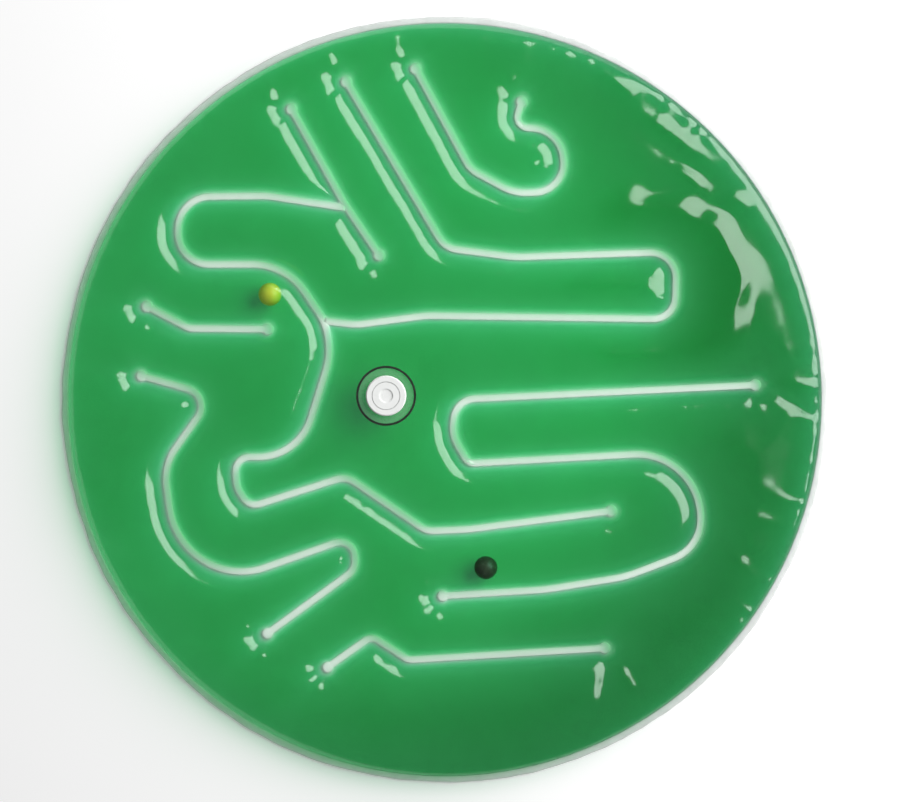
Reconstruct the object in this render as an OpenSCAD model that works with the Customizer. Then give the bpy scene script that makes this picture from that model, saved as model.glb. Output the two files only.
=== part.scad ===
// Gel maze pad: two clear vinyl films are welded together round the rim and along the
// lines of a maze, and filled with green gel. Two marbles lie in the gel and are pushed
// along the channels through the film. A stopper closes the filler port.
// The pad lies on a table: the origin is the centre of its underside and +Z is up.

/* [Pad] */
// Outside diameter of the pad, across the rim weld
pad_d = 420; // [408:1:480]
// Height of the plump top film above the table
crown_h = 16; // [15:0.5:20]
// Thickness of each film
film_t = 0.5; // [0.3:0.05:0.7]
// Width of the fused band round the rim
rim_w = 4; // [3:0.5:6]
// How much higher a film shoulder would rise, if the crown did not cut it off
crest_cut = 0.6; // [0.4:0.1:1]

/* [Maze welds] */
// Length of one step of the grid that the maze, the marbles and the port are drawn on
grid = 1; // [0.97:0.01:1.03]
// Width of a maze weld
weld_w = 3.6; // [2.8:0.1:4.4]
// Diameter of the round dot that ends a weld
dot_d = 6.4; // [5.4:0.2:7.4]
// Thickness of a weld strip at its edges
weld_t = 0.7; // [0.5:0.1:0.9]
// How far the middle of a strip stands above its edges
weld_crown = 0.4; // [0.2:0.1:0.6]
// How far the middle of the rim weld stands above its edges
rim_crown = 0.3; // [0.2:0.1:0.5]

/* [Marbles] */
// Diameter of each marble
marble_d = 12.7; // [11:0.1:13]
// Height of a marble above the bottom film
marble_lift = 0.4; // [0.3:0.1:0.6]
// Width of the slit under a marble's lane
slit_w = 8; // [6:0.5:9]
// How far the yellow marble rests from the left end of its lane
yellow_at = 79; // [1:1:82]
// How far the black marble rests from the left end of its lane
black_at = 7.5; // [0.5:0.5:111]

/* [Filler port] */
// Diameter of the clear flange under the top film
flange_d = 30; // [27:0.5:33]
// Thickness of the flange
flange_t = 1; // [0.6:0.1:1.4]
// Outside diameter of the neck
neck_d = 13; // [12:0.2:14]
// Bore of the neck, which the stopper fills
bore_d = 9; // [8:0.2:10]
// How far the neck reaches down into the gel, below the flange
neck_depth = 6; // [5:0.5:7]
// How far the neck stands up above the top film
neck_rise = 1; // [0.8:0.1:1.5]
// Diameter of the white collar that clamps the film
collar_d = 22; // [19:0.5:25]
// Width of the rounded edge of the collar
collar_edge = 0.6; // [0.3:0.1:0.8]
// Diameter of the stopper's head
head_d = 14.8; // [14.4:0.1:16]
// Thickness of the stopper's head
head_t = 1.4; // [1.2:0.1:2]
// Gap round the stopper's head, in the collar
head_gap = 0.3; // [0.2:0.05:0.5]
// Diameter of the dimple in the stopper's head
dimple_d = 7.6; // [6:0.2:9]
// Depth of the dimple
dimple_t = 0.5; // [0.3:0.1:0.8]
// Outside diameter of the black ring round the port
mark_d = 32.6; // [31:0.2:35]
// Width of the black ring
mark_w = 1.2; // [0.8:0.1:1.8]
// Thickness of the black ring
mark_t = 0.2; // [0.1:0.05:0.3]

/* [Fits] */
// Gap between a weld strip and the edge of the film that it holds
weld_fit = 0.05; // [0.03:0.01:0.1]
// Gap between the gel and the top film or the port
gel_fit = 0.2; // [0.1:0.05:0.3]
// Gap all round a marble in its lane
lane_fit = 0.3; // [0.2:0.05:0.4]
// Radial gap of the neck in the film and in the collar
neck_fit = 0.05; // [0.02:0.01:0.1]
// Radial gap of the stopper in its bore
stopper_fit = 0.05; // [0.02:0.01:0.1]

/* [Hidden] */
$fn = 64;

// The welds as corners [x, y, rounding radius] on the grid, from one end to the other
DIAGONAL = grid * [[-84, 159, 0], [-55, 107, 20], [-36, 79, 0]];
LONG = grid * [[-54.5, 105, 0], [-97, 111.5, 40], [-146, 111, 18], [-146, 74, 17], [-87, 74, 34],
               [-66, 43, 30], [-62, 26, 40], [-80, -32, 30], [-115, -31, 8], [-114, -48, 14],
               [-107, -59, 8], [-54, -42, 11], [-10, -72, 13], [13, -71, 60], [91, -61, 0]];
RIGHT_LOOP = grid * [[-66, 43, 0], [-48, 41, 25], [-10, 46, 40], [126, 44, 12], [127, 81, 14],
                     [39, 78, 60], [0, 83, 14], [-54, 174, 0]];
HOOK = grid * [[-16, 181, 0], [14, 126, 14], [38, 113, 28], [67, 114, 16], [63, 148, 18],
               [38, 149, 6], [42, 163, 0]];
SHORT = grid * [[-163, 51, 0], [-140, 39, 9], [-97, 38.5, 0]];
LEFT_SNAKE = grid * [[-166, 13, 0], [-127, 2, 10], [-154, -36, 30], [-144, -108, 40],
                     [-50, -75, 8], [-49, -93, 9], [-97, -128, 0]];
RIGHT_SNAKE = grid * [[170, 8, 0], [6, 0, 12], [4, -20, 20], [13, -35, 5], [138, -28, 35],
                      [141, -81, 23], [99, -97, 70], [55, -104, 120], [-1, -107.5, 0]];
BOTTOM = grid * [[-64, -146.5, 0], [-40, -129.5, 6], [-20, -142.5, 7], [87.5, -136, 0]];

// The two ends of the lane that each marble is pushed along, its left end first
YELLOW_LANE = grid * [[-174, 66.5], [-92, 57]];
BLACK_LANE = grid * [[15, -93.5], [124, -68]];

// Where the filler port stands
PORT = grid * [-32, 2];

pad_r = pad_d / 2;
weld_top = film_t + weld_t;
film_in = crown_h - film_t;
shoulder_r = crown_h + crest_cut - weld_top;
rim_in = pad_r - rim_w;
weld_half = weld_w / 2;
dot_half = dot_d / 2;
marble_r = marble_d / 2;
marble_z = film_t + marble_lift + marble_r;
lane_r = marble_r + lane_fit;
neck_top = crown_h + neck_rise;
neck_foot = film_in - flange_t - neck_depth;
collar_top = neck_top + head_t;
gel_in = film_t + gel_fit;
// How far a cutting shape runs past what it cuts
over = 1;
// How far a straight piece of a groove laps into a corner, which is a little wider
lap = 0.3;
ease = 0.1;
// Longest step along a rounded corner of a weld strip, and the steps round a dot
arc_step = 3;
dot_steps = 20;

function flat(p) = [p.x, p.y];
function unit(v) = v / norm(v);
function heading(v) = atan2(v.y, v.x);
function polar(r, a) = r * [cos(a), sin(a)];
function last(list) = list[len(list) - 1];
// The direction of the straight run that leaves point i of a path
function run_heading(path, i) = heading(flat(path[i + 1]) - flat(path[i]));
// The angle that a path turns through at corner i, positive to the left
function turn(path, i) =
    let (a = flat(path[i]) - flat(path[i - 1]), b = flat(path[i + 1]) - flat(path[i]))
    atan2(a.x * b.y - a.y * b.x, a * b);
// How much of each straight run the rounding of corner i uses up
function used(path, i) =
    i <= 0 || i >= len(path) - 1 ? 0 : path[i].z * tan(abs(turn(path, i)) / 2);
// The centre of the rounding of corner i
function corner_centre(path, i) =
    let (way = unit(flat(path[i]) - flat(path[i - 1])))
    flat(path[i]) - way * used(path, i) + path[i].z * sign(turn(path, i)) * [-way.y, way.x];

// Points along corner i of a path, moved to its left by off
function corner_points(path, i, off) =
    let (bend = turn(path, i), side = sign(bend), first = run_heading(path, i - 1) - 90 * side,
         steps = ceil(abs(bend) * path[i].z * PI / 180 / arc_step))
    [for (k = [0 : steps]) corner_centre(path, i) + polar(path[i].z - side * off, first + bend * k / steps)];
// Points of a dot's edge round the end of a path that leaves it with heading back
function dot_points(p, back, off) =
    let (gap = asin(off / dot_off(off)))
    [for (k = [0 : dot_steps]) flat(p) + polar(dot_off(off), back + gap + (360 - 2 * gap) * k / dot_steps)];
// A dot is as much narrower as its strip
function dot_off(off) = dot_half * off / weld_half;
// The edge of a path's right side, from its first point to its last, off from its middle
function right_edge(path, off) = [for (i = [1 : len(path) - 2]) each corner_points(path, i, -off)];
function left_edge(path, off) =
    [for (i = [len(path) - 2 : -1 : 1], p = reverse(corner_points(path, i, off))) p];
function reverse(list) = [for (i = [len(list) - 1 : -1 : 0]) list[i]];
// A plain end, square across the first point of a path
function square_end(path, off) =
    let (way = run_heading(path, 0))
    [flat(path[0]) + polar(off, way + 90), flat(path[0]) + polar(off, way - 90)];
// The outline of a weld strip that is off wide on each side of its path
function strip_outline(path, off, free) =
    concat(free ? dot_points(path[0], run_heading(path, 0), off) : square_end(path, off),
           right_edge(path, off),
           dot_points(last(path), run_heading(path, len(path) - 2) + 180, off),
           left_edge(path, off));

// Sweeps a section, which is the same left and right, along the straight runs of a path.
// Each run laps into the corners at its ends.
module along_runs(path) {
    for (i = [0 : len(path) - 2]) {
        step = flat(path[i + 1]) - flat(path[i]);
        start = flat(path[i]) + unit(step) * (used(path, i) - lap);
        translate([start.x, start.y, 0])
            rotate([90, 0, 90 + heading(step)])
                linear_extrude(norm(step) - used(path, i) - used(path, i + 1) + 2 * lap)
                    children();
    }
}

// Sweeps the same section round the corners of a path.
module along_corners(path) {
    for (i = [1 : len(path) - 2]) {
        centre = corner_centre(path, i);
        bend = turn(path, i);
        translate([centre.x, centre.y, 0])
            rotate([0, 0, run_heading(path, i - 1) - 90 * sign(bend) + min(bend, 0)])
                rotate_extrude(angle = abs(bend))
                    right_half()
                        translate([path[i].z, 0])
                            children();
    }
}

// Keeps the part of a section that lies right of its axis.
module right_half() {
    intersection() {
        children();
        translate([0, -crown_h]) square([pad_d, 3 * crown_h]);
    }
}

// Section of the space that a weld draws in between the film's round shoulders. half is
// half the weld's width, and inset is how far the shoulders are drawn in.
module groove_section(half, inset) {
    reach = half + shoulder_r;
    difference() {
        translate([-reach, film_t - 2 * over]) square([2 * reach, crown_h + 2 * over]);
        for (side = [-1, 1])
            translate([side * reach, weld_top]) circle(r = shoulder_r - inset);
        translate([half + inset, -crown_h]) square([shoulder_r, crown_h + weld_top]);
        translate([-reach - inset, -crown_h]) square([shoulder_r, crown_h + weld_top]);
    }
}

module groove_runs(path, inset) {
    along_runs(path) groove_section(weld_half + weld_fit, inset);
}

module groove_corners(path, inset) {
    along_corners(path) groove_section(weld_half + weld_fit + ease, inset);
}

// The dots at the ends of a weld. free is false where its first end meets another weld.
module groove_dots(path, inset, free = true) {
    for (p = free ? [path[0], last(path)] : [last(path)])
        translate([p.x, p.y, 0])
            rotate_extrude()
                right_half()
                    groove_section(dot_half + weld_fit, inset);
}

// The round body that the rim weld leaves between the films, drawn in by inset from the
// outside of the top film and standing at the height base
module dome(inset, base) {
    foot_r = rim_in - weld_fit - inset;
    round_r = rim_in - weld_fit - shoulder_r;
    rotate_extrude()
        intersection() {
            translate([0, base]) square([pad_r, crown_h - inset - base]);
            union() {
                translate([0, -crown_h]) square([foot_r, crown_h + weld_top]);
                translate([0, -crown_h]) square([round_r, 3 * crown_h]);
                translate([round_r, weld_top]) circle(r = shoulder_r - inset);
            }
        }
}

// The plump body between the films: the dome, drawn in along every weld, then round the
// corners and at the dots
module pillow(inset, base) {
    difference() {
        difference() {
            difference() {
                dome(inset, base);
                groove_runs(DIAGONAL, inset);
                groove_runs(LONG, inset);
                groove_runs(RIGHT_LOOP, inset);
                groove_runs(HOOK, inset);
                groove_runs(SHORT, inset);
                groove_runs(LEFT_SNAKE, inset);
                groove_runs(RIGHT_SNAKE, inset);
                groove_runs(BOTTOM, inset);
            }
            groove_corners(DIAGONAL, inset);
            groove_corners(LONG, inset);
            groove_corners(RIGHT_LOOP, inset);
            groove_corners(HOOK, inset);
            groove_corners(SHORT, inset);
            groove_corners(LEFT_SNAKE, inset);
            groove_corners(RIGHT_SNAKE, inset);
            groove_corners(BOTTOM, inset);
        }
        groove_dots(DIAGONAL, inset);
        groove_dots(LONG, inset, free = false);
        groove_dots(RIGHT_LOOP, inset, free = false);
        groove_dots(HOOK, inset);
        groove_dots(SHORT, inset);
        groove_dots(LEFT_SNAKE, inset);
        groove_dots(RIGHT_SNAKE, inset);
        groove_dots(BOTTOM, inset);
    }
}

// The fused strip of one weld, with a narrower crown along its middle. free is true where
// its first end has a dot too, and false where it starts at another weld.
module strip(path, free = true) {
    translate([0, 0, film_t])
        linear_extrude(weld_t)
            polygon(strip_outline(path, weld_half, free));
    translate([0, 0, film_t])
        linear_extrude(weld_t + weld_crown)
            polygon(strip_outline(path, weld_half / 2, free));
}

// The space that a marble sweeps in the gel between two points, slit open at the bottom
// film. Its ends are a little wider.
module lane(ends) {
    span = ends[1] - ends[0];
    slit_h = marble_z - film_t + over;
    translate([ends[0].x, ends[0].y, 0])
        rotate([0, 0, heading(span)]) {
            translate([0, 0, marble_z])
                rotate([0, 90, 0])
                    cylinder(r = lane_r, h = norm(span));
            translate([0, -slit_w / 2, film_t - over])
                cube([norm(span), slit_w, slit_h]);
        }
    for (p = ends)
        translate([p.x, p.y, 0]) {
            translate([0, 0, marble_z]) sphere(r = lane_r + ease);
            translate([0, 0, film_t - over]) cylinder(d = slit_w + 2 * ease, h = slit_h);
        }
}

module at_port() {
    translate([PORT.x, PORT.y, 0]) children();
}

module bottom_film() {
    color("honeydew")
        cylinder(r = pad_r, h = film_t);
}

module top_film() {
    color("mediumseagreen")
        difference() {
            pillow(0, film_t);
            pillow(film_t, film_t - over);
            at_port() cylinder(d = neck_d + 2 * neck_fit, h = crown_h + over);
        }
}

module gel_fill() {
    color("seagreen")
        difference() {
            pillow(gel_in, film_t);
            lane(YELLOW_LANE);
            lane(BLACK_LANE);
            at_port() {
                translate([0, 0, neck_foot - gel_fit])
                    cylinder(d = neck_d + 2 * gel_fit, h = crown_h);
                translate([0, 0, film_in - flange_t - gel_fit])
                    cylinder(d = flange_d + 2 * gel_fit, h = crown_h);
            }
        }
}

module rim_weld() {
    color("gainsboro")
        rotate_extrude()
            polygon([[rim_in, film_t], [pad_r, film_t], [pad_r, weld_top],
                     [pad_r - rim_w / 2, weld_top + rim_crown], [rim_in, weld_top]]);
}

module diagonal_weld() {
    color("white")
        strip(DIAGONAL);
}

module long_weld() {
    color("white")
        difference() {
            strip(LONG, free = false);
            strip(DIAGONAL);
        }
}

module right_loop_weld() {
    color("white")
        difference() {
            strip(RIGHT_LOOP, free = false);
            strip(LONG, free = false);
        }
}

module hook_weld() {
    color("white")
        strip(HOOK);
}

module short_weld() {
    color("white")
        strip(SHORT);
}

module left_snake_weld() {
    color("white")
        strip(LEFT_SNAKE);
}

module right_snake_weld() {
    color("white")
        strip(RIGHT_SNAKE);
}

module bottom_weld() {
    color("white")
        strip(BOTTOM);
}

// A marble that rests at a distance from the first end of its lane
module marble(ends, at) {
    rest = ends[0] + unit(ends[1] - ends[0]) * at;
    translate([rest.x, rest.y, marble_z])
        sphere(r = marble_r);
}

module yellow_marble() {
    color("gold")
        marble(YELLOW_LANE, yellow_at);
}

module black_marble() {
    color("dimgray")
        marble(BLACK_LANE, black_at);
}

module filler_port() {
    color("lightgreen")
        at_port()
            difference() {
                union() {
                    translate([0, 0, film_in - flange_t]) cylinder(d = flange_d, h = flange_t);
                    translate([0, 0, neck_foot]) cylinder(d = neck_d, h = neck_top - neck_foot);
                }
                translate([0, 0, neck_foot - over])
                    cylinder(d = bore_d, h = neck_top - neck_foot + 2 * over);
            }
}

module port_collar() {
    inner_r = neck_d / 2 + neck_fit;
    seat_r = head_d / 2 + head_gap;
    outer_r = collar_d / 2;
    color("whitesmoke")
        at_port()
            rotate_extrude()
                polygon([[inner_r, crown_h], [outer_r, crown_h], [outer_r, collar_top - collar_edge],
                         [outer_r - collar_edge, collar_top], [seat_r, collar_top],
                         [seat_r, neck_top], [inner_r, neck_top]]);
}

module filler_stopper() {
    stem_r = bore_d / 2 - stopper_fit;
    color("white")
        at_port()
            difference() {
                union() {
                    translate([0, 0, neck_top]) cylinder(d = head_d, h = head_t);
                    translate([0, 0, neck_foot]) cylinder(r = stem_r, h = neck_top - neck_foot + over);
                }
                translate([0, 0, neck_top + head_t - dimple_t]) cylinder(d = dimple_d, h = head_t);
            }
}

module port_ring() {
    color("black")
        at_port()
            translate([0, 0, crown_h])
                difference() {
                    cylinder(d = mark_d, h = mark_t);
                    translate([0, 0, -over]) cylinder(d = mark_d - 2 * mark_w, h = mark_t + 2 * over);
                }
}

bottom_film();
top_film();
gel_fill();
rim_weld();
diagonal_weld();
long_weld();
right_loop_weld();
hook_weld();
short_weld();
left_snake_weld();
right_snake_weld();
bottom_weld();
yellow_marble();
black_marble();
filler_port();
port_collar();
filler_stopper();
port_ring();
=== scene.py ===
import math

import bpy
import numpy as np
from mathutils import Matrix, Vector, geometry


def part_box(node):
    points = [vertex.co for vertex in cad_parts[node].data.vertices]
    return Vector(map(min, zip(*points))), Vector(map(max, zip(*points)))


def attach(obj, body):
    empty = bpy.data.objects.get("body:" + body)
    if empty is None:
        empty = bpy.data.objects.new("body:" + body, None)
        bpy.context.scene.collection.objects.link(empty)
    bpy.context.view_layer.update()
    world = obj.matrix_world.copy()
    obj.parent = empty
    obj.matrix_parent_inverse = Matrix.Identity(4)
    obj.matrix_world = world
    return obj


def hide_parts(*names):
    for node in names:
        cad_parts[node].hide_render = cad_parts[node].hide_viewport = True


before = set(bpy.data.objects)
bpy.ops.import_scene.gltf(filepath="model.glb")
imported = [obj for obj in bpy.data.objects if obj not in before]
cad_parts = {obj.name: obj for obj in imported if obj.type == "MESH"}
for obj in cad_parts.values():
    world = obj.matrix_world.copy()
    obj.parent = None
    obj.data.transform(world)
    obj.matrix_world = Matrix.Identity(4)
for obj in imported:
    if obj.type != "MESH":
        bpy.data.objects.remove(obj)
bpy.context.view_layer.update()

MM = 0.001

# The sizes and routes of the CAD model, in millimetres
PAD_R = 210.0
RIM_IN = 205.95
FILM_T = 0.5
WELD_TOP = 1.2
SHOULDER_R = 15.4
CROWN = 16.0
WELD_HALF = 1.8
DOT_HALF = 3.2
FIT = 0.05
MARBLE_R = 6.35
PORT = np.array((-32.0, 2.0))
NECK_R = 6.5
NECK_FOOT = 8.5

# Corners (x, y, rounding) of each weld, and whether its first end is free
WELDS = {
    "diagonal_weld": (((-84, 159, 0), (-55, 107, 20), (-36, 79, 0)), True),
    "long_weld": (((-54.5, 105, 0), (-97, 111.5, 40), (-146, 111, 18), (-146, 74, 17),
                   (-87, 74, 34), (-66, 43, 30), (-62, 26, 40), (-80, -32, 30), (-115, -31, 8),
                   (-114, -48, 14), (-107, -59, 8), (-54, -42, 11), (-10, -72, 13),
                   (13, -71, 60), (91, -61, 0)), False),
    "right_loop_weld": (((-66, 43, 0), (-48, 41, 25), (-10, 46, 40), (126, 44, 12),
                         (127, 81, 14), (39, 78, 60), (0, 83, 14), (-54, 174, 0)), False),
    "hook_weld": (((-16, 181, 0), (14, 126, 14), (38, 113, 28), (67, 114, 16), (63, 148, 18),
                   (38, 149, 6), (42, 163, 0)), True),
    "short_weld": (((-163, 51, 0), (-140, 39, 9), (-97, 38.5, 0)), True),
    "left_snake_weld": (((-166, 13, 0), (-127, 2, 10), (-154, -36, 30), (-144, -108, 40),
                         (-50, -75, 8), (-49, -93, 9), (-97, -128, 0)), True),
    "right_snake_weld": (((170, 8, 0), (6, 0, 12), (4, -20, 20), (13, -35, 5), (138, -28, 35),
                          (141, -81, 23), (99, -97, 70), (55, -104, 120), (-1, -107.5, 0)), True),
    "bottom_weld": (((-64, -146.5, 0), (-40, -129.5, 6), (-20, -142.5, 7), (87.5, -136, 0)), True),
}
LANES = (((-174, 66.5), (-92, 57)), ((15, -93.5), (124, -68)))

# Steps along the welds, in millimetres: fine for shapes, coarse for distances and the gel
FINE = 1.4
COARSE = 2.2

# How steeply the film rises from a fused edge: 2 is a round shoulder, more is blunter
WELD_BLUNT = 3.2
RIM_BLUNT = 5.0
RIM_BLUNT_MORE = 7.0

# The film's own fullness and unevenness, in millimetres
SWELL = 0.8
BELLY = 3.0
CREST = 4.2
CREST_AT = (113, 60)
OPEN_FROM = (-40, 20)
CREASE = 0.3
SLOW_WAVE = 0.30
QUICK_WAVE = 0.16
FAN = 0.6
HIGHEST = 24.0

# Creases of the film that the photograph shows: from, to, width, depth
FOLDS = (
    ((173, 7), (203, -9), 3.6, -2.2),
    ((174, 12), (204, 6), 4.5, 1.6),
    ((90, -140), (84, -167), 3.6, -1.7),
    ((92, -139), (104, -164), 3.6, 1.7),
    ((80, 180), (104, 164), 5.0, 2.4),
    ((99, 160), (151, 122), 5.5, 2.8),
    ((104, 150), (146, 118), 5.5, -1.5),
    ((123, 127), (141, 115), 4.5, 2.2),
    ((151, 112), (166, 103), 4.5, 2.2),
    ((-17, 185), (-22, 202), 3.5, -0.8),
    ((-56, 178), (-62, 195), 3.5, -0.8),
    ((-86, 163), (-98, 180), 3.5, -0.8),
    ((43, 167), (52, 196), 4.5, -0.8),
    ((-166, 52), (-196, 58), 4.0, -0.8),
    ((-169, 14), (-203, 18), 4.0, -0.9),
    ((-100, -130), (-128, -158), 4.5, -0.9),
    ((-67, -148), (-92, -180), 4.5, -0.9),
    ((-196, -40), (-176, -62), 4.0, 1.3),
    ((150, -60), (190, -70), 4.0, 0.9),
    ((146, -82), (172, -92), 4.0, 1.0),
    ((158, -78), (178, -102), 4.5, -0.9),
    ((165, -44), (192, -60), 4.5, 0.7),
    ((120, -130), (150, -112), 5.0, 0.8),
    ((-190, -72), (-168, -88), 4.0, -1.3),
)

# Looks
FILM_IOR = 1.68
MOST_MIRRORED = 0.07
PLASTIC_IOR = 1.5
GEL_COLOUR = (0.0, 0.805, 0.44, 1)
GEL_DENSITY = 154.0
# Centre of the painted light on the gel: its colour is darkened away from here, as painted shade
GEL_LIT_CENTRE = (-0.07, 0.025, 0.01)
# The weld strips glow a little by their own white though they are no lamps: painted light
WELD_PAINTED_GLOW = 0.13
# The yellow ball glows a little by its own colour though it is no lamp: painted light
YELLOW_PAINTED_GLOW = 0.2
FLOOR_WHITE = 0.2
WORLD_LIGHT = 0.17


def route(corners, step):
    """The middle of a weld as points about step apart: straight runs and rounded corners."""
    pts = [np.array(c[:2], float) for c in corners]
    line = [pts[0]]
    for i in range(1, len(pts) - 1):
        a, b = pts[i] - pts[i - 1], pts[i + 1] - pts[i]
        bend = math.atan2(a[0] * b[1] - a[1] * b[0], a @ b)
        r, side, way = corners[i][2], math.copysign(1, bend), a / np.linalg.norm(a)
        centre = pts[i] - way * r * math.tan(abs(bend) / 2) + r * side * np.array((-way[1], way[0]))
        first = math.atan2(way[1], way[0]) - side * math.pi / 2
        steps = max(2, math.ceil(abs(bend) * r / step))
        for k in range(steps + 1):
            t = first + bend * k / steps
            line.append(centre + r * np.array((math.cos(t), math.sin(t))))
    line.append(pts[-1])
    out = [line[0]]
    for p, q in zip(line, line[1:]):
        n = max(1, round(np.linalg.norm(q - p) / step))
        out += [p + (q - p) * k / n for k in range(1, n + 1)]
    return np.array(out)


def normals_of(line):
    """Unit vectors to the left of a line at each of its points."""
    d = np.gradient(line, axis=0)
    d /= np.linalg.norm(d, axis=1)[:, None]
    return np.stack((-d[:, 1], d[:, 0]), axis=1)


def free_ends(name):
    """The dots of a weld, each with the direction that it points in."""
    line = LINES[name]
    ends = [(line[-1], line[-1] - line[-3])]
    if WELDS[name][1]:
        ends.append((line[0], line[0] - line[2]))
    return [(p, d / np.linalg.norm(d)) for p, d in ends]


def smooth(x, a, b):
    """0 at a and 1 at b, with a soft start and end."""
    t = np.clip((x - a) / (b - a), 0, 1)
    return t * t * (3 - 2 * t)


def circle(radius, count):
    """Points round a circle about the origin."""
    t = np.arange(count) * 2 * math.pi / count
    return radius * np.stack((np.cos(t), np.sin(t)), 1)


LINES = {name: route(corners, FINE) for name, (corners, _) in WELDS.items()}
ROUTES = {name: route(corners, COARSE) for name, (corners, _) in WELDS.items()}
DOTS = [end for name in WELDS for end in free_ends(name)]


def near_line(p, line):
    """For each point, its distance from a line and how far along the line it is nearest."""
    best = np.full(len(p), 1e9)
    along = np.zeros(len(p))
    start = 0.0
    for a, b in zip(line, line[1:]):
        d = b - a
        size = np.linalg.norm(d)
        t = np.clip(((p - a) @ d) / size**2, 0, 1)
        gap = np.hypot(p[:, 0] - a[0] - t * d[0], p[:, 1] - a[1] - t * d[1])
        closer = gap < best
        best[closer] = gap[closer]
        along[closer] = start + t[closer] * size
        start += size
    return best, along


def edge_field(p):
    """For each point, its distance from the nearest fused edge, how far along that, and which:
    0 for the rim, and the weld's number otherwise."""
    apart = 731.0  # keeps the places along two welds from being the same
    r = np.hypot(p[:, 0], p[:, 1])
    u = RIM_IN - r
    along = np.arctan2(p[:, 1], p[:, 0]) * RIM_IN
    kind = np.zeros(len(p), int)
    for k, name in enumerate(WELDS, 1):
        gap, s = near_line(p, ROUTES[name])
        gap -= WELD_HALF + FIT
        closer = gap < u
        u[closer], along[closer], kind[closer] = gap[closer], s[closer] + apart * k, k
    for c, _ in DOTS:
        gap = np.hypot(*(p - c).T) - DOT_HALF - FIT
        closer = gap < u
        u[closer] = gap[closer]
    return u, along, kind


def waves(p, seed, length, count=5):
    """A smooth field of about -1 to 1 with features of about the given length."""
    rng = np.random.default_rng(seed)
    total = np.zeros(len(p))
    for _ in range(count):
        a, ph = rng.uniform(0, 2 * math.pi, 2)
        k = 2 * math.pi / (length * rng.uniform(0.7, 1.4))
        total += np.sin(k * (p[:, 0] * math.cos(a) + p[:, 1] * math.sin(a)) + ph)
    return total / math.sqrt(count)


def shoulder(p, u, kind):
    """Height of the film as it rises from the fused edges, fullest along the right of the rim."""
    turn = np.arctan2(p[:, 1], p[:, 0]) + math.radians(20)
    rim_blunt = RIM_BLUNT + RIM_BLUNT_MORE * smooth(np.cos(turn), -0.2, 0.5)
    blunt = np.where(kind == 0, rim_blunt, WELD_BLUNT)
    short_of_crown = 1 - np.clip(u, 0, SHOULDER_R) / SHOULDER_R
    return WELD_TOP + SHOULDER_R * np.sqrt(1 - short_of_crown**blunt)


def add_fullness(loose, p, u):
    """A fuller belly and a crest toward the right and the bottom, and slow unevenness all over."""
    x, y = p[:, 0], p[:, 1]
    open_side = smooth(np.hypot(x - OPEN_FROM[0], y - OPEN_FROM[1]), 130, 210)
    belly = open_side * (0.8 + 0.2 * waves(p, 7, 90)) * smooth(x - y, -40, 160)
    loose += BELLY * belly * smooth(u, 10, 45)
    crest = np.hypot(x - CREST_AT[0], y - CREST_AT[1]) + 3 * waves(p, 9, 38)
    loose += CREST * smooth(crest, 58, 43) * smooth(u, 6, 24)
    loose += CREASE * open_side * (np.abs(waves(p, 8, 40, 3)) - 0.6) * smooth(u, 3, 12)
    loose += SLOW_WAVE * waves(p, 3, 70) * smooth(u, 2, 14)
    loose += QUICK_WAVE * waves(p, 4, 24) * smooth(u, 2, 9)


def add_puckers(loose, u, along, kind):
    """Puckers square to the welds and, larger, to the rim."""
    at_rim = kind == 0
    pace = np.where(at_rim, 12.5, 10.5)
    reach = np.where(at_rim, 9.0, 5.5)
    swing = 0.75 * waves(np.stack((along, 31.0 * kind), 1), 5, 26)
    size = np.where(at_rim, 0.62, 0.34)
    size = size * (0.55 + 0.45 * waves(np.stack((along, 57.0 * kind), 1), 6, 60))
    ripple = np.sin(2 * math.pi * along / pace + 2.2 * swing)
    loose += size * ripple * np.exp(-u / reach) * smooth(u, 0.2, 2.4)


def add_fans(loose, p):
    """Fans of puckers round the ends of the welds."""
    for i, (c, way) in enumerate(DOTS):
        d = p - c
        r = np.hypot(*d.T)
        turn = np.arctan2(way[0] * d[:, 1] - way[1] * d[:, 0], d @ way)
        fan = np.cos(turn * (6 + i % 3) + 1.7 * i) * (0.45 + 0.55 * np.cos(turn / 2) ** 2)
        loose += FAN * fan * smooth(r, 3.5, 7) * np.exp(-((r - 6) / 10) ** 2)


def add_folds(loose, p, u):
    """The single creases, each deepest in its middle."""
    for a, b, width, depth in FOLDS:
        line = np.array((a, b), float)
        gap, s = near_line(p, line)
        size = np.linalg.norm(line[1] - line[0])
        taper = np.sin(math.pi * np.clip(s / size, 0.04, 0.96)) ** 0.7
        loose += depth * taper * np.exp(-((gap / width) ** 2)) * smooth(u, 0.4, 4)


def film_height(p):
    """Height of the film's outside at each point, in millimetres."""
    u, along, kind = edge_field(p)
    z = shoulder(p, u, kind)
    # the film lies calm round the port and over the marbles' lanes
    port = np.hypot(*(p - PORT).T)
    calm = smooth(port, 17.5, 30)
    for a, b in LANES:
        gap, _ = near_line(p, np.array((a, b), float))
        calm *= 0.2 + 0.8 * smooth(gap, 9, 20)
    loose = SWELL * (1 - np.exp(-np.clip(u - SHOULDER_R, 0, None) / 10))
    add_fullness(loose, p, u)
    add_puckers(loose, u, along, kind)
    add_fans(loose, p)
    add_folds(loose, p, u)
    z += calm * loose
    flat = smooth(port, 26, 17.0)
    z = z * (1 - flat) + CROWN * flat
    z = np.minimum(z, HIGHEST)
    # tucked in under the welds, and under the neck
    z[u < -0.1] = FILM_T + 0.12
    z[port < NECK_R + 0.1] = NECK_FOOT - 0.2
    return z


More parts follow.
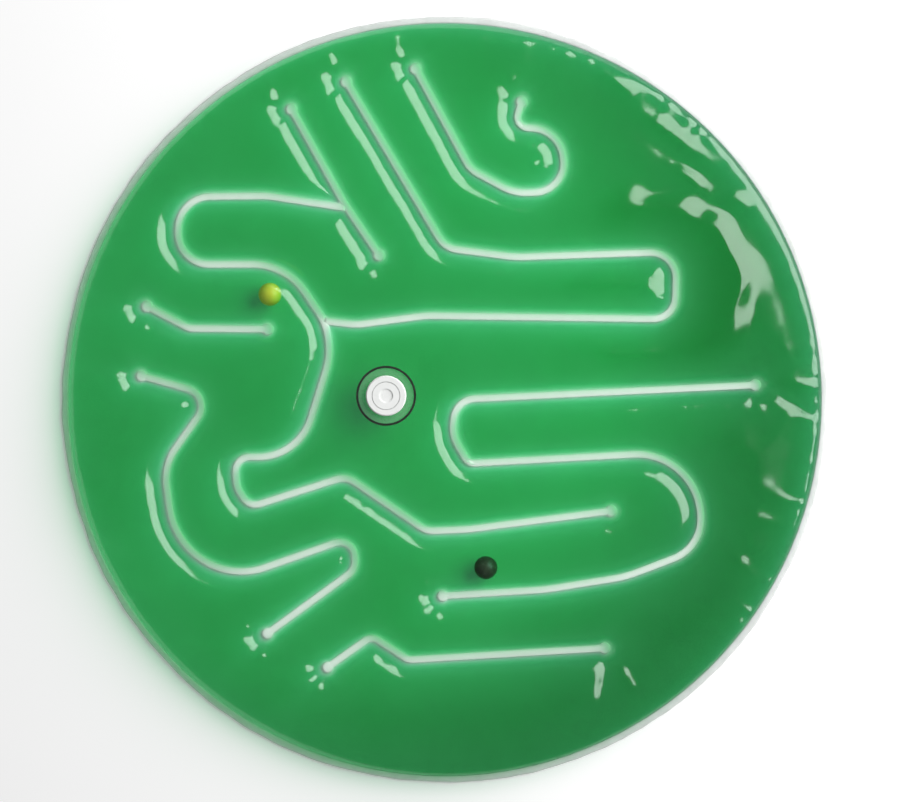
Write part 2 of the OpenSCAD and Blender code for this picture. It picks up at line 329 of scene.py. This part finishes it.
def gel_height(p):
    """Height of the gel's top: just under the film, and under the port's flange."""
    sole = FILM_T + 0.16
    u, _, _ = edge_field(p)
    z = np.maximum(film_height(p) - 0.4, sole)
    z[u < 0.1] = sole
    under = np.hypot(*(p - PORT).T) < 15.2
    z[under] = np.minimum(z[under], 14.3)
    return z


def link(ob, body, replaced):
    bpy.context.scene.collection.objects.link(ob)
    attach(ob, body)
    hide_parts(replaced)


def mesh_object(name, verts, faces, mat, smooth_faces=True):
    me = bpy.data.meshes.new(name)
    me.from_pydata([tuple(v) for v in verts], [], faces)
    me.materials.append(mat)
    if smooth_faces:
        me.polygons.foreach_set("use_smooth", np.ones(len(me.polygons), bool))
    me.validate()
    me.update()
    return bpy.data.objects.new(name, me)


def material(name):
    """A new material with its node tree and its output node, which is the only node in it."""
    m = bpy.data.materials.new(name)
    m.use_nodes = True
    nt = m.node_tree
    nt.nodes.clear()
    out = nt.nodes.new("ShaderNodeOutputMaterial")
    return m, nt, out


def node(nt, kind, **inputs):
    """A new node with the named inputs set, where _ stands for a space."""
    n = nt.nodes.new(kind)
    for key, value in inputs.items():
        n.inputs[key.replace("_", " ")].default_value = value
    return n


def calc(nt, operation, a, b, clamp=False):
    """A Math node on two inputs, each of them a socket or a number."""
    n = nt.nodes.new("ShaderNodeMath")
    n.operation = operation
    n.use_clamp = clamp
    for socket, value in zip(n.inputs, (a, b)):
        if isinstance(value, float):
            socket.default_value = value
        else:
            nt.links.new(value, socket)
    return n.outputs[0]


def mixed(nt, share, first, second):
    """Two shaders mixed: share is a socket or a number, 0 for the first and 1 for the second."""
    n = nt.nodes.new("ShaderNodeMixShader")
    if isinstance(share, float):
        n.inputs[0].default_value = share
    else:
        nt.links.new(share, n.inputs[0])
    nt.links.new(first.outputs[0], n.inputs[1])
    nt.links.new(second.outputs[0], n.inputs[2])
    return n


def noise(nt, scale, detail=4.0, rough=0.5, distort=0.0):
    coord = nt.nodes.new("ShaderNodeTexCoord")
    n = node(nt, "ShaderNodeTexNoise", Scale=scale, Detail=detail, Roughness=rough,
             Distortion=distort)
    nt.links.new(coord.outputs["Object"], n.inputs["Vector"])
    return n.outputs["Fac"]


def ramp(nt, fac, *stops):
    r = nt.nodes.new("ShaderNodeValToRGB")
    while len(r.color_ramp.elements) < len(stops):
        r.color_ramp.elements.new(0.5)
    for e, (pos, colour) in zip(r.color_ramp.elements, stops):
        e.position = pos
        e.color = (*colour, 1)
    nt.links.new(fac, r.inputs["Fac"])
    return r.outputs["Color"]


def two_tone(nt, fac, low, high):
    """A colour that wanders between two tones."""
    return ramp(nt, fac, (0.3, low), (0.7, high))


def bump(nt, height, strength, distance):
    b = node(nt, "ShaderNodeBump", Strength=strength, Distance=distance)
    nt.links.new(height, b.inputs["Height"])
    return b.outputs["Normal"]


def remap(nt, fac, low, high):
    r = node(nt, "ShaderNodeMapRange", To_Min=low, To_Max=high)
    nt.links.new(fac, r.inputs["Value"])
    return r.outputs["Result"]


def film_material(name, bumps, strength, rough, up):
    """Clear film: it mirrors by Fresnel on its outer face, up or down, and is clear elsewhere."""
    m, nt, out = material(name)
    gloss = node(nt, "ShaderNodeBsdfGlossy", Roughness=rough)
    clear = node(nt, "ShaderNodeBsdfTransparent", Color=(0.985, 0.995, 0.99, 1))
    fresnel = node(nt, "ShaderNodeFresnel", IOR=FILM_IOR)
    normal = bump(nt, noise(nt, bumps, 3, 0.5, 0.4), strength, 0.0004)
    nt.links.new(normal, gloss.inputs["Normal"])
    nt.links.new(normal, fresnel.inputs["Normal"])
    side = nt.nodes.new("ShaderNodeNewGeometry")
    part = nt.nodes.new("ShaderNodeSeparateXYZ")
    nt.links.new(side.outputs["True Normal"], part.inputs[0])
    outer = calc(nt, "GREATER_THAN" if up else "LESS_THAN", part.outputs["Z"], 0.0)
    seen = calc(nt, "SUBTRACT", outer, side.outputs["Backfacing"], True)
    most = calc(nt, "MINIMUM", fresnel.outputs[0], MOST_MIRRORED)
    share = calc(nt, "MULTIPLY", most, seen)
    nt.links.new(mixed(nt, share, clear, gloss).outputs[0], out.inputs["Surface"])
    return m


def gel_material():
    """Green by its depth, with painted shade: a little darker far from one lit place, as the light
    falls off.
    """
    m, nt, out = material("green_gel")
    clear = nt.nodes.new("ShaderNodeBsdfTransparent")
    coord = nt.nodes.new("ShaderNodeTexCoord")
    far = nt.nodes.new("ShaderNodeVectorMath")
    far.operation = "DISTANCE"
    far.inputs[1].default_value = GEL_LIT_CENTRE
    nt.links.new(coord.outputs["Object"], far.inputs[0])
    # painted shade: the gel's clear colour darkens away from the lit place, standing in for the
    # light's falloff
    shade = node(nt, "ShaderNodeMapRange", From_Min=0.15, From_Max=0.265, To_Min=1.0, To_Max=0.845)
    shade.interpolation_type = "SMOOTHSTEP"
    nt.links.new(far.outputs["Value"], shade.inputs["Value"])
    swirl = remap(nt, noise(nt, 18, 5, 0.6, 2.5), 0.955, 1.02)
    tone = calc(nt, "MULTIPLY", shade.outputs["Result"], swirl)
    nt.links.new(tone, clear.inputs["Color"])
    nt.links.new(clear.outputs[0], out.inputs["Surface"])
    depth = node(nt, "ShaderNodeVolumeAbsorption", Color=GEL_COLOUR, Density=GEL_DENSITY)
    nt.links.new(depth.outputs[0], out.inputs["Volume"])
    return m


def weld_material():
    m, nt, out = material("fused_white_film")
    # The strip glows a little by its own white though it is no lamp: painted light that brightens
    # it in its groove
    p = node(nt, "ShaderNodeBsdfPrincipled", IOR=PLASTIC_IOR, Coat_Weight=0.25, Coat_Roughness=0.12,
             Emission_Strength=WELD_PAINTED_GLOW)
    f = noise(nt, 300, 4, 0.55)
    white = two_tone(nt, f, (0.90, 0.93, 0.90), (0.95, 0.97, 0.95))
    nt.links.new(white, p.inputs["Base Color"])
    nt.links.new(white, p.inputs["Emission Color"])
    nt.links.new(remap(nt, f, 0.30, 0.5), p.inputs["Roughness"])
    nt.links.new(bump(nt, noise(nt, 900, 2, 0.5), 0.12, 0.0002), p.inputs["Normal"])
    nt.links.new(p.outputs[0], out.inputs["Surface"])
    return m


def rim_material():
    m, nt, out = material("fused_clear_rim")
    p = node(nt, "ShaderNodeBsdfPrincipled", IOR=PLASTIC_IOR, Coat_Weight=0.3, Coat_Roughness=0.1)
    f = noise(nt, 220, 4, 0.6)
    white = two_tone(nt, f, (0.86, 0.88, 0.87), (0.95, 0.96, 0.95))
    nt.links.new(white, p.inputs["Base Color"])
    nt.links.new(remap(nt, f, 0.22, 0.42), p.inputs["Roughness"])
    nt.links.new(bump(nt, noise(nt, 500, 3, 0.5), 0.2, 0.0003), p.inputs["Normal"])
    clear = node(nt, "ShaderNodeBsdfTransparent", Color=(1, 1, 1, 1))
    nt.links.new(mixed(nt, 0.5, clear, p).outputs[0], out.inputs["Surface"])
    return m


def marble_material(name, low, high, scale, painted_glow=0.0, specks=None):
    m, nt, out = material(name)
    # The ball can glow by its own colour though it is no lamp: painted light
    p = node(nt, "ShaderNodeBsdfPrincipled", IOR=PLASTIC_IOR, Roughness=0.3, Specular_IOR_Level=0.2,
             Coat_Weight=0.12, Coat_Roughness=0.2, Emission_Strength=painted_glow)
    colour = two_tone(nt, noise(nt, scale, 3, 0.55, 1.2), low, high)
    if specks:
        v = node(nt, "ShaderNodeTexVoronoi", Scale=700)
        coord = nt.nodes.new("ShaderNodeTexCoord")
        nt.links.new(coord.outputs["Object"], v.inputs["Vector"])
        spot = ramp(nt, v.outputs["Distance"], (0.10, (1, 1, 1)), (0.16, (0, 0, 0)))
        mix = nt.nodes.new("ShaderNodeMix")
        mix.data_type = "RGBA"
        nt.links.new(spot, mix.inputs["Factor"])
        nt.links.new(colour, mix.inputs["A"])
        mix.inputs["B"].default_value = (*specks, 1)
        colour = mix.outputs["Result"]
    nt.links.new(colour, p.inputs["Base Color"])
    nt.links.new(colour, p.inputs["Emission Color"])
    nt.links.new(p.outputs[0], out.inputs["Surface"])
    return m


def moulded(name, low, high, rough):
    """Moulded plastic, or print, with a fine grain."""
    m, nt, out = material(name)
    p = node(nt, "ShaderNodeBsdfPrincipled", IOR=PLASTIC_IOR)
    f = noise(nt, 240, 4, 0.55)
    nt.links.new(two_tone(nt, f, low, high), p.inputs["Base Color"])
    nt.links.new(remap(nt, f, rough - 0.08, rough + 0.1), p.inputs["Roughness"])
    nt.links.new(bump(nt, noise(nt, 1400, 2, 0.5), 0.08, 0.0001), p.inputs["Normal"])
    nt.links.new(p.outputs[0], out.inputs["Surface"])
    return m


def fitting_material():
    m, nt, out = material("clear_fitting")
    p = node(nt, "ShaderNodeBsdfPrincipled", IOR=PLASTIC_IOR)
    f = noise(nt, 200, 3, 0.5)
    tint = two_tone(nt, f, (0.70, 0.80, 0.74), (0.80, 0.88, 0.83))
    nt.links.new(tint, p.inputs["Base Color"])
    nt.links.new(remap(nt, f, 0.25, 0.4), p.inputs["Roughness"])
    clear = node(nt, "ShaderNodeBsdfTransparent", Color=(0.95, 0.98, 0.96, 1))
    nt.links.new(mixed(nt, 0.07, clear, p).outputs[0], out.inputs["Surface"])
    return m


def floor_material():
    """A white table: for what is seen of it, a little of its own white is added to its light."""
    m, nt, out = material("white_table")
    d = node(nt, "ShaderNodeBsdfDiffuse", Color=(0.92, 0.92, 0.92, 1))
    path = nt.nodes.new("ShaderNodeLightPath")
    seen = path.outputs["Is Camera Ray"]
    for other in ("Is Glossy Ray", "Is Transmission Ray"):
        seen = calc(nt, "MAXIMUM", seen, path.outputs[other])
    e = node(nt, "ShaderNodeEmission", Color=(1, 1, 1, 1))
    nt.links.new(calc(nt, "MULTIPLY", seen, FLOOR_WHITE), e.inputs["Strength"])
    add = nt.nodes.new("ShaderNodeAddShader")
    nt.links.new(d.outputs[0], add.inputs[0])
    nt.links.new(e.outputs[0], add.inputs[1])
    nt.links.new(add.outputs[0], out.inputs["Surface"])
    return m


def pillow_points(rows, step, pitch):
    """Points in rows along every fused edge, and a mesh of points between the rows."""
    round_port = 18
    close = 0.05
    even = 0.866  # height of an even triangle with sides of 1
    lines = [route(corners, step) for corners, _ in WELDS.values()]
    groups = []
    for u in rows:
        pts = []
        for line in lines:
            side = normals_of(line) * (WELD_HALF + FIT + u)
            pts += [line + side, line - side]
        dot_r = DOT_HALF + FIT + u
        for c, _ in DOTS:
            pts.append(c + circle(dot_r, max(20, round(2 * math.pi * dot_r / step))))
        if u >= 0:
            pts.append(circle(RIM_IN - u, round(2 * math.pi * (RIM_IN - u) / step)))
        pts = np.vstack(pts)
        found = edge_field(pts)[0]
        groups.append(pts[(np.abs(found - u) < close) & (np.hypot(*(pts - PORT).T) > round_port)])
    n = int(PAD_R / pitch) + 1
    i, j = np.meshgrid(np.arange(-n, n + 1), np.arange(-n, n + 1))
    grid = np.stack(((i + 0.5 * (j % 2)) * pitch, j * pitch * even), -1).reshape(-1, 2)
    grid = grid[np.hypot(*grid.T) < RIM_IN - 15]
    far = edge_field(grid)[0] > rows[-1] + 1.3
    groups.append(grid[far & (np.hypot(*(grid - PORT).T) > round_port)])
    rings = ((17.0, 60), (15.25, 60), (15.15, 60), (11.0, 48),
             (NECK_R + 0.14, 40), (NECK_R + 0.06, 40), (3.0, 16))
    groups += [PORT + circle(r, n) for r, n in rings]
    kept, seen = [], set()
    for pts in groups:
        for p in pts:
            key = (round(p[0] / close), round(p[1] / close))
            if key not in seen:
                seen.add(key)
                kept.append(p)
    return np.array(kept)


def closed_body(name, points, heights, base, mat):
    """A body with a top of the given heights over a flat base."""
    flat = [Vector(p) for p in points]
    co, _, faces, _, _, _ = geometry.delaunay_2d_cdt(flat, [], [], 0, 1e-5, False)
    p = np.array([tuple(v) for v in co])
    z = heights(p)
    edges = set()
    for f in faces:
        edges.update(zip(f, f[1:] + f[:1]))
    after = {a: b for a, b in edges if (b, a) not in edges}
    loop = [min(after)]
    while after[loop[-1]] != loop[0]:
        loop.append(after[loop[-1]])
    count, size = len(p), len(loop)
    top = np.column_stack((p, z))
    under = np.column_stack((p[loop], np.full(size, base)))
    faces = [tuple(f) for f in faces]
    for k in range(size):
        a, b = loop[k], loop[(k + 1) % size]
        faces.append((b, a, count + k, count + (k + 1) % size))
    faces.append(tuple(count + k for k in reversed(range(size))))
    # smooth all over: a ray that enters by a smooth face isn't seen to leave by a flat one
    return mesh_object(name, np.vstack((top, under)) * MM, faces, mat)


def make_film():
    rows = (-0.3, 0.0, 0.12, 0.4, 0.9, 1.7, 2.8, 4.3, 6.2, 8.5, 11.2, 14.2)
    points = pillow_points(rows, FINE, 2.3)
    ob = closed_body("top_skin", points, film_height, FILM_T + 0.06,
                     film_material("clear_top_film", 260, 0.10, 0.13, True))
    link(ob, "pad", "top_film")


def make_gel():
    rows = (-0.2, 0.15, 0.6, 1.4, 2.8, 4.8, 7.6, 11.0)
    points = pillow_points(rows, COARSE, 3.4)
    points = points[np.hypot(*points.T) < RIM_IN - 0.1]
    ob = closed_body("gel_body", points, gel_height, FILM_T + 0.1, gel_material())
    link(ob, "pad", "gel_fill")


def add_dot(verts, faces, c):
    """A low dome on the free end of a weld, at c."""
    rings = ((1.0, 0.0), (0.97, 0.7), (0.85, 0.9), (0.6, 1.04), (0.3, 1.1))
    crown = 1.12
    steps = 40
    base = len(verts)
    for r, h in rings:
        for k in range(steps):
            t = 2 * math.pi * k / steps
            x = c[0] + r * DOT_HALF * math.cos(t)
            y = c[1] + r * DOT_HALF * math.sin(t)
            verts.append((x, y, FILM_T + h))
    verts.append((c[0], c[1], FILM_T + crown))
    for j in range(len(rings) - 1):
        for k in range(steps):
            a, b = base + j * steps + k, base + j * steps + (k + 1) % steps
            faces.append((a, b, b + steps, a + steps))
    last = base + (len(rings) - 1) * steps
    faces += [(last + k, last + (k + 1) % steps, len(verts) - 1) for k in range(steps)]
    faces.append(tuple(base + k for k in reversed(range(steps))))


def make_strip(name, mat):
    """A fused strip with a rounded crown, and a low dome on each of its free ends."""
    line = LINES[name]
    side = normals_of(line)
    half = WELD_HALF + 0.2
    offs = np.array((-1.0, -0.97, -0.8, -0.45, 0.0, 0.45, 0.8, 0.97, 1.0))
    lift = np.array((0.0, 0.7, 0.86, 1.02, 1.08, 1.02, 0.86, 0.7, 0.0))
    verts, faces = [], []
    n = len(offs)
    for i, (c, s) in enumerate(zip(line, side)):
        for o, h in zip(offs, lift):
            verts.append((*(c + s * o * half), FILM_T + h))
        if i:
            a, b = (i - 1) * n, i * n
            faces += [(a + k, a + k + 1, b + k + 1, b + k) for k in range(n - 1)]
            faces.append((a + n - 1, a, b, b + n - 1))
    faces.append(tuple(reversed(range(n))))
    faces.append(tuple(range((len(line) - 1) * n, len(line) * n)))
    for c, _ in free_ends(name):
        add_dot(verts, faces, c)
    ob = mesh_object(name + "_strip", np.array(verts) * MM, faces, mat)
    link(ob, "pad", name)


def make_rim(mat):
    """The fused band round the rim, slightly wavy, with a crimped edge."""
    steps = 900
    at = circle(1, steps)
    rim = at * 200
    wave = waves(rim, 11, 34) * 0.35 + waves(rim, 12, 11) * 0.25
    edge = waves(rim, 13, 60) * 0.35 + waves(rim, 14, 17) * 0.18
    # how far across the band, and how high
    section = ((0.0, 0.0), (0.02, 0.7), (0.25, 0.92), (0.5, 1.0), (0.75, 0.9), (0.97, 0.66),
               (1.0, 0.0))
    inner = RIM_IN + FIT
    bed = FILM_T + 0.02
    verts, faces = [], []
    n = len(section)
    for i in range(steps):
        outer = PAD_R - 0.2 + edge[i]
        for s, h in section:
            r = inner + s * (outer - inner)
            lift = 0.55 * max(0.0, wave[i]) * s + 0.3 * wave[i] * s if h else 0.0
            verts.append((r * at[i][0], r * at[i][1], bed + max(0.0, h + lift)))
        a, b = i * n, ((i + 1) % steps) * n
        faces += [(a + k + 1, a + k, b + k, b + k + 1) for k in range(n - 1)]
        faces.append((a, a + n - 1, b + n - 1, b))
    ob = mesh_object("rim_band", np.array(verts) * MM, faces, mat)
    link(ob, "pad", "rim_weld")


def make_bottom(mat):
    """The bottom film, flat on the table, with faint creases."""
    rings, steps = 60, 180
    verts, faces = [], []
    for face in (0, 1):
        base = len(verts)
        verts.append((0, 0, FILM_T * face))
        for i in range(1, rings + 1):
            r = (PAD_R - 0.15) * i / rings
            for k in range(steps):
                t = 2 * math.pi * k / steps
                verts.append((r * math.cos(t), r * math.sin(t), FILM_T * face))
        for k in range(steps):
            tri = (base, base + 1 + k, base + 1 + (k + 1) % steps)
            faces.append(tri if face else tri[::-1])
        for i in range(rings - 1):
            for k in range(steps):
                a, b = base + 1 + i * steps + k, base + 1 + i * steps + (k + 1) % steps
                quad = (a, a + steps, b + steps, b)
                faces.append(quad if face else quad[::-1])
    low = 1 + (rings - 1) * steps
    high = low + 1 + rings * steps
    for k in range(steps):
        a, b = low + k, low + (k + 1) % steps
        c, d = high + k, high + (k + 1) % steps
        faces.append((a, b, d, c))
    verts = np.array(verts, float)
    under = verts[:, 2] == 0
    p = verts[:, :2]
    crease = np.abs(waves(p, 21, 55)) * 0.05 + np.abs(waves(p, 22, 20)) * 0.03
    verts[under, 2] += crease[under]
    ob = mesh_object("bottom_sheet", verts * MM, faces, mat)
    link(ob, "pad", "bottom_film")


def make_marble(name, node_name, body, mat):
    """A ball in the middle of its node's box."""
    low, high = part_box(node_name)
    c = (low + high) / 2
    rows, cols = 32, 48
    verts, faces = [(0, 0, -1)], []
    for i in range(1, rows):
        a = math.pi * i / rows
        for k in range(cols):
            t = 2 * math.pi * k / cols
            verts.append((math.sin(a) * math.cos(t), math.sin(a) * math.sin(t), -math.cos(a)))
    verts.append((0, 0, 1))
    pole = len(verts) - 1
    for k in range(cols):
        faces.append((0, 1 + (k + 1) % cols, 1 + k))
        faces.append((pole, pole - cols + k, pole - cols + (k + 1) % cols))
    for i in range(rows - 2):
        for k in range(cols):
            a, b = 1 + i * cols + k, 1 + i * cols + (k + 1) % cols
            faces.append((a, b, b + cols, a + cols))
    ob = mesh_object(name, np.array(verts) * MARBLE_R * MM + np.array(c), faces, mat)
    link(ob, body, node_name)


def dress(node_name, mat):
    """Gives a CAD node that stays in view its material."""
    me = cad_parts[node_name].data
    me.materials.clear()
    me.materials.append(mat)


make_film()
make_gel()
white = weld_material()
for weld in WELDS:
    make_strip(weld, white)
make_rim(rim_material())
make_bottom(film_material("clear_bottom_film", 90, 0.25, 0.12, False))
# The yellow ball glows a little by its own colour: painted light
yellow = marble_material("yellow_glass", (0.92, 0.54, 0.04), (0.99, 0.66, 0.08), 90, YELLOW_PAINTED_GLOW)
make_marble("yellow_glass_marble", "yellow_marble", "yellow", yellow)
black = marble_material("black_glass", (0.050, 0.042, 0.028), (0.090, 0.078, 0.055), 160,
                        specks=(0.22, 0.2, 0.16))
make_marble("black_glass_marble", "black_marble", "black", black)

dress("filler_port", fitting_material())
moulding = moulded("white_fitting", (0.88, 0.90, 0.88), (0.95, 0.96, 0.95), 0.35)
dress("port_collar", moulding)
dress("filler_stopper", moulding)
dress("port_ring", moulded("black_mark", (0.008, 0.009, 0.008), (0.02, 0.022, 0.02), 0.4))

# A white table, a hair below the pad
FLOOR_HALF = 3.0
FLOOR_Z = -0.0004
quarters = ((-1, -1), (1, -1), (1, 1), (-1, 1))
ends = [(x * FLOOR_HALF, y * FLOOR_HALF, FLOOR_Z) for x, y in quarters]
floor = mesh_object("table", ends, [(0, 1, 2, 3)], floor_material(), False)
bpy.context.scene.collection.objects.link(floor)

world = bpy.data.worlds.new("studio")
bpy.context.scene.world = world
world.use_nodes = True
sky = world.node_tree.nodes["Background"]
sky.inputs["Color"].default_value = (1, 1, 1, 1)
sky.inputs["Strength"].default_value = WORLD_LIGHT


def softbox(name, azimuth, elevation, distance, size, radiance):
    """A square lamp that faces the pad's middle."""
    lamp = bpy.data.lights.new(name, "AREA")
    lamp.shape = "RECTANGLE"
    lamp.size, lamp.size_y = size, size
    lamp.energy = radiance * math.pi * size * size
    ob = bpy.data.objects.new(name, lamp)
    a, e = math.radians(azimuth), math.radians(elevation)
    way = Vector((math.cos(a) * math.cos(e), math.sin(a) * math.cos(e), math.sin(e)))
    ob.location = distance * way
    ob.rotation_mode = "QUATERNION"
    ob.rotation_quaternion = ob.location.to_track_quat("Z", "Y")
    bpy.context.scene.collection.objects.link(ob)


softbox("key", azimuth=27, elevation=36, distance=1.5, size=1.5, radiance=5.6)

# Light crosses six clear faces on its way to the table and six on its way back
bpy.context.scene.cycles.transparent_max_bounces = 32

# The photograph looks straight down. Its middle lies 2.74 mm right of the pad's centre and
# 0.82 mm below it, and its 900 pixels span 493.1 mm at the table.
SENSOR = 36
CAMERA_Z = 2.0
VIEW_WIDTH = 0.4931
cam = bpy.data.cameras.new("camera")
cam.sensor_width = SENSOR
cam.sensor_fit = "HORIZONTAL"
cam.lens = SENSOR * CAMERA_Z / VIEW_WIDTH
cam_ob = bpy.data.objects.new("camera", cam)
cam_ob.location = (2.74 * MM, -0.82 * MM, CAMERA_Z)
bpy.context.scene.collection.objects.link(cam_ob)
bpy.context.scene.camera = cam_ob
bpy.context.scene.view_settings.view_transform = "Standard"
